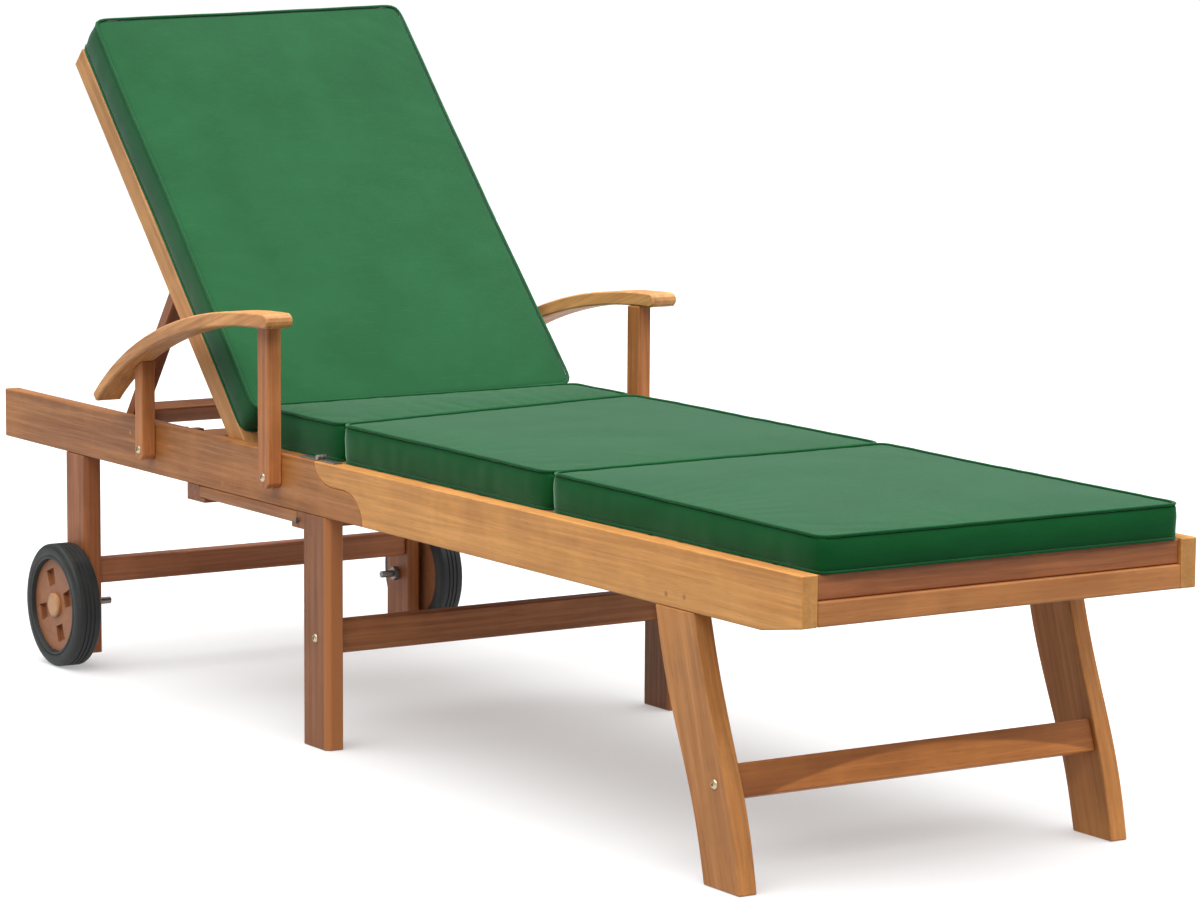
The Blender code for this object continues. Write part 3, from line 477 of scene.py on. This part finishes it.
# ---------------------------------------------------------------- turned pieces
def lathe(name, outline, centre, side, sides, material, bend=None):
    """A solid turned about the X line through centre. The outline is a list of (x, radius), where
    x counts outwards from the lounger's centre plane. Bend may change a radius by its angle."""
    bm = bmesh.new()
    rings = []
    for index, (x, radius) in enumerate(outline):
        if radius == 0:
            rings.append([bm.verts.new((side * x, centre.y, centre.z))])
            continue
        ring = []
        for k in range(sides):
            angle = 2 * math.pi * k / sides
            here = bend(index, radius, angle) if bend else radius
            ring.append(bm.verts.new((side * x, centre.y + here * math.cos(angle),
                                      centre.z + here * math.sin(angle))))
        rings.append(ring)
    closed = outline[0][1] != 0
    last = len(rings) if closed else len(rings) - 1
    for i in range(last):
        first, second = rings[i], rings[(i + 1) % len(rings)]
        for k in range(sides):
            m = (k + 1) % sides
            if len(first) == 1:
                bm.faces.new((first[0], second[k], second[m]))
            elif len(second) == 1:
                bm.faces.new((first[k], first[m], second[0]))
            else:
                bm.faces.new((first[k], first[m], second[m], second[k]))
    bmesh.ops.recalc_face_normals(bm, faces=bm.faces[:])
    return object_from(bm, name, material)


def build_wheels():
    black = rubber("tyre_rubber")
    brown = moulded("hub_brown", tone(157, 100, 63))
    tan = moulded("cap_tan", tone(196, 142, 94), 0.35)
    zinc = plated("axle_zinc", tone(128, 124, 120))
    for sign, side in SIDES:
        low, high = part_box("tyre_" + side)
        inner = min(abs(low.x), abs(high.x))
        outer = max(abs(low.x), abs(high.x))
        radius = (high.z - low.z) / 2
        centre = Vector((0, (low.y + high.y) / 2, (low.z + high.z) / 2))
        hub_low, hub_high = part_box("hub_" + side)
        rim = (hub_high.z - hub_low.z) / 2
        width = outer - inner
        middle = (inner + outer) / 2
        # round-shouldered tyre with three grooves in its tread
        outline = [(inner + 0.0015, rim + 0.0003), (inner, rim + 0.0025)]
        shoulder = 0.0100
        flank = radius - shoulder
        outline.append((inner - 0.0000, flank - 0.004))
        for k in range(7):
            a = math.radians(180 - 90 * k / 6)
            outline.append((inner + 0.006 + 0.006 * math.cos(a), flank + shoulder * math.sin(a)))
        for groove in (-0.0062, 0.0, 0.0062):
            for shift, depth in ((-0.0014, 0.0), (-0.0009, 0.0013), (0.0009, 0.0013), (0.0014, 0.0)):
                outline.append((middle + groove + shift, radius - depth))
        for k in range(7):
            a = math.radians(90 - 90 * k / 6)
            outline.append((outer - 0.006 + 0.006 * math.cos(a), flank + shoulder * math.sin(a)))
        outline += [(outer, flank - 0.004), (outer - 0.0004, rim + 0.0062), (outer - 0.0012, rim + 0.0052),
                    (outer, rim + 0.0042), (outer - 0.0003, rim + 0.0012), (outer - 0.0020, rim + 0.0003)]
        tyre = smooth(lathe("wheel_tyre_" + side, outline, centre, sign, 96, black), 50)
        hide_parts("tyre_" + side)
        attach(tyre, "wheel_" + side)
        NODES["hub_" + side].data.materials.clear()
        NODES["hub_" + side].data.materials.append(brown)
        NODES["hub_cap_" + side].data.materials.clear()
        NODES["hub_cap_" + side].data.materials.append(tan)
        NODES["axle_bolt_" + side].data.materials.clear()
        NODES["axle_bolt_" + side].data.materials.append(zinc)


# ---------------------------------------------------------------- cushions
def pad_grid(width, length, height):
    """Positions on a box with rounded upright corners: the top and bottom as grids, the sides as
    rows between their rims. Returns the vertices, the faces, and the rows from the bottom up."""
    nu = max(4, round(width / PAD_CELL))
    nv = max(4, round(length / PAD_CELL))
    rows = 5

    def outline(u, v):
        """A point of the rectangle with its corners rounded, for u and v from -1 to 1."""
        reach = max(abs(u), abs(v))
        if reach == 0:
            return 0.0, 0.0
        x = width / 2 * u / reach
        y = length / 2 * v / reach
        over_x = abs(x) - (width / 2 - CORNER_RADIUS)
        over_y = abs(y) - (length / 2 - CORNER_RADIUS)
        if over_x > 0 and over_y > 0:
            size = max(over_x, over_y)
            scale = size / math.hypot(over_x, over_y)
            x = math.copysign(width / 2 - CORNER_RADIUS + over_x * scale, x)
            y = math.copysign(length / 2 - CORNER_RADIUS + over_y * scale, y)
        return x * reach, y * reach

    plan = {(i, j): outline(2 * i / nu - 1, 2 * j / nv - 1) for i in range(nu + 1) for j in range(nv + 1)}
    rim = ([(i, 0) for i in range(nu)] + [(nu, j) for j in range(nv)]
           + [(nu - i, nv) for i in range(nu)] + [(0, nv - j) for j in range(nv)])
    verts = []
    top = {}
    bottom = {}
    for key, (x, y) in plan.items():
        top[key] = len(verts)
        verts.append((x, y, height))
    for key, (x, y) in plan.items():
        bottom[key] = len(verts)
        verts.append((x, y, 0.0))
    faces = []
    for i in range(nu):
        for j in range(nv):
            corners = ((i, j), (i + 1, j), (i + 1, j + 1), (i, j + 1))
            faces.append([top[c] for c in corners])
            faces.append([bottom[c] for c in reversed(corners)])
    bands = [[bottom[key] for key in rim]]
    for row in range(1, rows):
        band = []
        for key in rim:
            band.append(len(verts))
            verts.append((*plan[key], height * row / rows))
        bands.append(band)
    bands.append([top[key] for key in rim])
    count = len(rim)
    for lower, upper in zip(bands, bands[1:]):
        for k in range(count):
            m = (k + 1) % count
            faces.append([lower[k], lower[m], upper[m], upper[k]])
    return verts, faces, bands


def swell(obj, pinned):
    """Cloth under pressure, with the sewn rims held. Returns how far each point has moved."""
    group = obj.vertex_groups.new(name="sewn")
    group.add(pinned, 1.0, "REPLACE")
    cloth = obj.modifiers.new("cloth", "CLOTH")
    settings = cloth.settings
    settings.quality = 5
    settings.mass = 0.25
    settings.tension_stiffness = 12
    settings.compression_stiffness = 12
    settings.shear_stiffness = 4
    settings.bending_stiffness = 0.4
    settings.use_pressure = True
    settings.uniform_pressure_force = 4.0
    settings.shrink_min = -0.012
    settings.vertex_group_mass = "sewn"
    settings.effector_weights.gravity = 0.0
    before = [v.co.copy() for v in obj.data.vertices]
    scene = bpy.context.scene
    for step in range(1, 21):
        scene.frame_set(step)
    graph = bpy.context.evaluated_depsgraph_get()
    after = [v.co.copy() for v in obj.evaluated_get(graph).data.vertices]
    obj.modifiers.clear()
    scene.frame_set(1)
    return [b - a for a, b in zip(before, after)]


def tube(bm, points, radius, sides, slot):
    """A closed round tube along a loop of points."""
    count = len(points)
    rings = []
    for k, point in enumerate(points):
        ahead = (points[(k + 1) % count] - points[k - 1]).normalized()
        side = ahead.cross(Vector((0, 0, 1)))
        side = side.normalized() if side.length > 1e-6 else Vector((1, 0, 0))
        up = side.cross(ahead)
        rings.append([bm.verts.new(point + side * radius * math.cos(2 * math.pi * s / sides)
                                   + up * radius * math.sin(2 * math.pi * s / sides)) for s in range(sides)])
    for k in range(count):
        first, second = rings[k], rings[(k + 1) % count]
        for s in range(sides):
            m = (s + 1) % sides
            face = bm.faces.new((first[s], first[m], second[m], second[s]))
            face.material_index = slot
            face.smooth = True


def rounded_off(ring):
    """Each vector of a closed ring averaged with its two neighbours."""
    count = len(ring)
    return [(ring[k - 1] + ring[k] * 2 + ring[(k + 1) % count]) / 4 for k in range(count)]


def boxed_cushion(name, width, length, height, place, flat_ends, seed, cloth, binding):
    """A boxed cushion in its own space (x across, y along, z from its base), then placed.
    The simulated swelling gives the form. TOP_CROWN and SIDE_CROWN set its size, the underside
    stays flat, and noise adds a little unevenness. Flat ends are the ends, -1 or 1 along y, that
    press against a neighbour."""
    inner = height - 2 * 0.0005
    verts, faces, bands = pad_grid(width, length, inner)
    top_rim = bands[-1]
    bottom_rim = bands[0]
    mesh = bpy.data.meshes.new(name)
    mesh.from_pydata(verts, [], faces)
    obj = bpy.data.objects.new(name, mesh)
    bpy.context.scene.collection.objects.link(obj)
    moved = swell(obj, top_rim + bottom_rim)
    for band in bands[1:-1]:
        ring = [moved[k] for k in band]
        for _ in range(CREASE_SMOOTHING):
            ring = rounded_off(ring)
        for k, d in zip(band, ring):
            moved[k] = d
    rims = set(top_rim + bottom_rim)
    top_most = max(d.z for d in moved) or 1.0
    side_most = max(math.hypot(d.x, d.y) for v, d in zip(verts, moved) if 0.001 < v[2] < inner - 0.001) or 1.0
    shift = Vector((seed * 3.1, seed * 1.7, seed * 5.3))
    for index, (v, d) in enumerate(zip(mesh.vertices, moved)):
        start = Vector(verts[index])
        on_top = start.z > inner - 0.0005
        on_base = start.z < 0.0005
        if index in rims:
            moved_by = Vector((0, 0, 0))
        elif on_top:
            moved_by = Vector((d.x * 0.3, d.y * 0.3, d.z * TOP_CROWN / top_most))
        elif on_base:
            moved_by = Vector((0, 0, 0))
        else:
            moved_by = Vector((d.x, d.y, 0.0)) * (SIDE_CROWN / side_most)
            for end in flat_ends:
                if end * start.y > length / 2 - 0.004:
                    moved_by.y = end * END_TOUCH * min(1.0, start.z / 0.008, (inner - start.z) / 0.008)
        # soft unevenness: edges that wander a little and faint dents
        edge = min(1.0, (width / 2 - abs(start.x)) / 0.05, (length / 2 - abs(start.y)) / 0.05)
        edge = max(0.0, edge)
        wander = noise.noise_vector(start * 7.0 + shift) * 0.0016
        pucker = noise.noise(Vector((start.x * 55, start.y * 55, start.z * 20)) + shift) * 0.0007 * (1 - edge)
        if on_top:
            moved_by.z += noise.noise(start * 11.0 + shift) * 0.0011 * edge + pucker
        elif not on_base:
            if abs(start.x) > width / 2 - 0.01:
                moved_by += Vector((start.x, 0, 0)).normalized() * pucker
        wander.z *= 0.35 if not on_base else 0.0
        wander.y *= 0.4
        v.co = start + moved_by + wander
        # ends between the corners are drawn in a little
        bow = 0.0022 * (1 - (2 * start.y / length) ** 2)
        v.co.x -= math.copysign(bow * abs(2 * start.x / width), start.x)
    loops = []
    for rim in (top_rim, bottom_rim):
        points = [mesh.vertices[k].co.copy() for k in rim]
        for _ in range(2):
            points = rounded_off(points)
        loops.append(points)
    subdivide = obj.modifiers.new("subdivide", "SUBSURF")
    subdivide.levels = 1
    subdivide.render_levels = 1
    applied(obj)
    bm = bmesh.new()
    bm.from_mesh(obj.data)
    for face in bm.faces:
        face.smooth = True
        face.material_index = 0
    for loop, lift in zip(loops, (0.0004, 0.0010)):
        for point in loop:
            point.z += lift
        tube(bm, loop, PIPING_RADIUS, 8, 1)
    for vert in bm.verts:
        vert.co = place(vert.co + Vector((0, 0, 0.0005)))
    bm.normal_update()
    bm.to_mesh(obj.data)
    bm.free()
    obj.data.materials.clear()
    obj.data.materials.append(cloth)
    obj.data.materials.append(binding)
    return obj


def build_cushions():
    # one canvas in two copies: the leaning cushion's base colour is paler and greyer than the level ones, painted
    # light for the light on its front
    level = fabric("canvas_level", (0.0060, 0.0740, 0.0190, 1), 1.0, 0.29, (0.62, 1.0, 0.76, 1))
    leaning_painted_paler = fabric("canvas_leaning", (0.0180, 0.1020, 0.0350, 1), 0.24, 0.45, (0.85, 0.90, 1.0, 1), RECLINE)
    binding = piping_cloth("piping_green", (0.0030, 0.0380, 0.0110, 1))
    seat_low, seat_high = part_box("pad_seat")
    mid_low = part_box("pad_mid")[0]
    foot_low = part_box("pad_foot")[0]
    width = seat_high.x - seat_low.x + 2 * (PAD_SPREAD - PIPING_RADIUS)
    length = SEAT_END_Y - foot_low.y
    height = seat_high.z - seat_low.z
    inset = PIPING_RADIUS + 0.0002

    def seam(x):
        share = (x + width / 2) / width
        return FOLD.y + SEAM_NEAR_SHIFT + (SEAM_FAR_SHIFT - SEAM_NEAR_SHIFT) * share

    def level_pad(name, start, end, seed, flat_ends):
        """Start and end give y for an x. The pad is built square, then sheared to them."""
        middle = end(0) - start(0)

        def place(p):
            share = (p.y + middle / 2) / middle
            low = start(p.x)
            high = end(p.x)
            y = low + (high - low) * share
            fall = TOP_FALL * min(1.0, max(0.0, (SEAT_END_Y - y) / length)) ** 1.6
            return Vector((p.x, y, seat_low.z + p.z * (1 - fall / height)))

        return boxed_cushion(name, width, middle, height, place, flat_ends, seed, level, binding)

    def split(x):
        return mid_low.y + SPLIT_SKEW * 2 * x / width

    def seat_end(x):
        return SEAT_END_Y - inset - SEAT_END_SKEW * (0.5 - x / width)

    seat = level_pad("cushion_seat", lambda x: seam(x) + inset, seat_end, 1, (-1, 1))
    mid = level_pad("cushion_mid", lambda x: split(x) + inset, lambda x: seam(x) - inset, 2, (-1, 1))
    foot = level_pad("cushion_foot", lambda x: foot_low.y + PIPING_RADIUS - FOOT_OVERHANG,
                     lambda x: split(x) - inset, 3, (1,))
    for piece, node in ((seat, "pad_seat"), (mid, "pad_mid")):
        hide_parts(node)
        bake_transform(piece)
    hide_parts("pad_foot")
    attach(foot, "foot_section")

    # the back cushion lies on the back slats, from just over the pivot to past the stiles' tops
    corners = [v.co for v in NODES["pad_back"].data.vertices]
    along = [(c - PIVOT).dot(UP_BACK) for c in corners]
    out = [(c - PIVOT).dot(OUT_BACK) for c in corners]
    start = min(along) + PIPING_RADIUS
    end = max(along) - PIPING_RADIUS
    base = min(out)
    thick = max(out) - base

    def lean(p):
        share = (p.y + (end - start) / 2) / (end - start)
        up = (start + end) / 2 + p.y + share * BACK_SKEW * (1 + 2 * p.x / width)
        up -= (1 - share) ** 2 * BACK_DROOP * (0.5 - p.x / width)
        return Vector((p.x, PIVOT.y, PIVOT.z)) + UP_BACK * up + OUT_BACK * (base + p.z)

    back = boxed_cushion("cushion_back", width, end - start, thick, lean, (), 4, leaning_painted_paler, binding)
    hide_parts("pad_back")
    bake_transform(back)


# ---------------------------------------------------------------- bolts, screws and plugs
def build_bolts():
    """Each bolt gets a domed head with a six-sided socket."""
    metal = plated("bolt_plate", tone(196, 178, 150))
    names = [n for n in sorted(NODES) if n.startswith("bolt_")]
    for name in names:
        low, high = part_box(name)
        sign = -1 if low.x < 0 else 1
        tip = max(abs(low.x), abs(high.x))
        root = min(abs(low.x), abs(high.x))
        head = (high.z - low.z) / 2
        centre = Vector((0, (low.y + high.y) / 2, (low.z + high.z) / 2))
        socket = 0.0022

        def bend(index, radius, angle):
            if index < first_socket:
                return radius
            part = (angle + math.pi / 6) % (math.pi / 3) - math.pi / 6
            return socket * math.cos(math.pi / 6) / math.cos(part)

        outline = [(root, 0.0), (root, 0.0024), (root + 0.0006, 0.0030),
                   (tip - 0.0031, 0.0030), (tip - 0.0031, head - 0.0003),
                   (tip - 0.0027, head), (tip - 0.0019, head - 0.0003), (tip - 0.0010, head - 0.0013),
                   (tip - 0.0003, head - 0.0026), (tip, head - 0.0035)]
        first_socket = len(outline)
        outline += [(tip, socket), (tip - 0.0020, socket), (tip - 0.0021, 0.0)]
        bolt = smooth(lathe("fastener_" + name, outline, centre, sign, 36, metal, bend), 40)
        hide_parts(name)
        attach(bolt, BODY_OF[name])


def disc(bm, centre, normal, radius, rise, sides=20):
    """A low round plug or screw head that stands a little proud."""
    side = normal.orthogonal().normalized()
    up = normal.cross(side)
    rings = []
    for r, h in ((radius, -0.002), (radius, rise * 0.5), (radius * 0.92, rise)):
        rings.append([bm.verts.new(centre + normal * h + (side * math.cos(2 * math.pi * k / sides)
                                                          + up * math.sin(2 * math.pi * k / sides)) * r)
                      for k in range(sides)])
    for first, second in zip(rings, rings[1:]):
        for k in range(sides):
            m = (k + 1) % sides
            bm.faces.new((first[k], first[m], second[m], second[k]))
    bm.faces.new(rings[-1])
    bm.faces.new(rings[0][::-1])


def build_plugs():
    """Wooden plugs over the screws in the rails, hinge screws and the tray's stop pin."""
    plug_wood = wood("wood_plugs", tone(206, 146, 84), (1, 0, 0), 71)
    screw = plated("hinge_screws", tone(118, 114, 108), 0.38)
    outer = abs(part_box("rail_rear_near")[0].x)
    rear = ((0.319, 0.313), (0.592, 0.351))
    front = ((-0.741, 0.316), (-0.777, 0.317))
    for body, places in (("base", rear), ("foot_section", front)):
        bm = bmesh.new()
        for sign, _ in SIDES:
            for y, z in places:
                disc(bm, Vector((sign * outer, y, z)), Vector((sign, 0, 0)), 0.0034, 0.0003)
        bmesh.ops.recalc_face_normals(bm, faces=bm.faces[:])
        plugs = object_from(bm, "plugs_" + body, plug_wood)
        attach(plugs, body)
    stop = Vector((0, 0.1130, 0.2900))
    outline = [(outer - 0.0040, 0.0), (outer - 0.0040, 0.0032),
               (outer + 0.0040, 0.0032), (outer + 0.0050, 0.0022),
               (outer + 0.0050, 0.0)]
    for sign, side in SIDES:
        pin = smooth(lathe("tray_stop_pin_" + side, outline, stop, sign, 24, screw), 40)
        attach(pin, "base")
    for leaf, body in (("hinge_leaf_rear", "base"), ("hinge_leaf_front", "foot_section")):
        bm = bmesh.new()
        for _, side in SIDES:
            low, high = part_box(f"{leaf}_{side}")
            middle = (low.x + high.x) / 2
            away = 1 if body == "base" else -1
            for step, shift in ((0.012, -0.0025), (0.023, 0.0025), (0.034, -0.0025)):
                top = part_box(f"rail_rear_{side}")[1].z + 0.0018
                spot = Vector((middle + shift, FOLD.y + away * step, top))
                disc(bm, spot, Vector((0, 0, 1)), 0.0020, 0.0003, 16)
        bmesh.ops.recalc_face_normals(bm, faces=bm.faces[:])
        screws = object_from(bm, "hinge_screws_" + body, screw)
        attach(screws, body)
    leaf_steel = plated("hinge_zinc", tone(150, 146, 138), 0.34)
    for name in NODES:
        if name.startswith("hinge_leaf"):
            NODES[name].data.materials.clear()
            NODES[name].data.materials.append(leaf_steel)


# ---------------------------------------------------------------- floor, light and camera
def turned_shell(name, profile, material, sides=96):
    """An open surface of revolution about the Z axis, from a list of (radius, height)."""
    bm = bmesh.new()
    rings = []
    for radius, height in profile:
        if radius == 0:
            rings.append([bm.verts.new((0, 0, height))])
        else:
            turns = [2 * math.pi * k / sides for k in range(sides)]
            rings.append([bm.verts.new((radius * math.cos(a), radius * math.sin(a), height)) for a in turns])
    for first, second in zip(rings, rings[1:]):
        for k in range(sides):
            m = (k + 1) % sides
            corners = [first[k % len(first)], first[m % len(first)],
                       second[m % len(second)], second[k % len(second)]]
            face = bm.faces.new(list(dict.fromkeys(corners)))
            face.smooth = True
    return object_from(bm, name, material)


def build_stage():
    """A pale floor that curves up all round into a white dome. Neither throws light back onto
    the lounger, so its undersides stay in shade."""
    t = Tree("studio_floor")
    speck = t.noise(t.add("TexCoord").outputs["Object"], 6.0, 3.0)
    t.set(Base_Color=t.mix(speck, (0.56, 0.56, 0.56, 1), (0.59, 0.59, 0.59, 1)))
    t.set(Roughness=0.8, Specular_IOR_Level=0.2)
    t.set(Emission_Color=(1, 1, 1, 1), Emission_Strength=0.38)
    floor = turned_shell("floor", [(0, -0.0005), (4.0, -0.0005), (9.0, -0.0005)], t.material)
    white = Tree("studio_dome")
    haze = white.noise(white.add("TexCoord").outputs["Object"], 0.4, 2.0)
    white.set(Base_Color=(0, 0, 0, 1), Roughness=1.0, Specular_IOR_Level=0.0,
              Emission_Strength=white.spread(haze, 0.2, 0.8, 1.02, 1.06))
    white.set(Emission_Color=(1, 1, 1, 1))
    wall = [(9.0, -0.0005)]
    for k in range(1, 13):
        angle = math.radians(90 * k / 12)
        wall.append((9.0 + 3.0 * math.sin(angle), 3.0 - 3.0 * math.cos(angle)))
    for k in range(0, 13):
        angle = math.radians(90 * k / 12)
        wall.append((12.0 * math.cos(angle) if k < 12 else 0, 4.0 + 9.0 * math.sin(angle)))
    dome = turned_shell("dome", wall, white.material)
    for obj in (floor, dome):
        obj.visible_diffuse = False
    dome.visible_glossy = False
    dome.visible_shadow = False


def build_light():
    """A broad overhead softbox that leans a little to the near side, and a weak white room."""
    world = bpy.data.worlds.new("studio")
    world.use_nodes = True
    world.node_tree.nodes["Background"].inputs["Color"].default_value = (1, 1, 1, 1)
    world.node_tree.nodes["Background"].inputs["Strength"].default_value = 0.36
    bpy.context.scene.world = world
    lamp = bpy.data.lights.new("overhead", "SUN")
    lamp.energy = 5.0
    lamp.angle = math.radians(100)
    obj = bpy.data.objects.new("overhead", lamp)
    obj.rotation_euler = Vector((0.10, 0.16, -1)).to_track_quat("-Z", "Y").to_euler()
    bpy.context.scene.collection.objects.link(obj)


def build_camera():
    camera = bpy.data.cameras.new("camera")
    camera.sensor_width = 36.0
    camera.lens = 125.58
    camera.shift_x = -0.0022
    camera.shift_y = -0.0073
    obj = bpy.data.objects.new("camera", camera)
    obj.location = (-2.83763, -4.57468, 1.08024)
    yaw = math.radians(-32.87)
    pitch = math.radians(-7.36)
    roll = math.radians(0.35)
    turn = Matrix.Rotation(yaw, 4, "Z") @ Matrix.Rotation(math.pi / 2 + pitch, 4, "X")
    turn = turn @ Matrix.Rotation(roll, 4, "Z")
    obj.rotation_euler = turn.to_euler()
    bpy.context.scene.collection.objects.link(obj)
    bpy.context.scene.camera = obj


dress_wood()
build_wheels()
build_cushions()
build_bolts()
build_plugs()
build_stage()
build_light()
build_camera()
bpy.context.scene.view_settings.view_transform = "Standard"
bpy.context.view_layer.update()
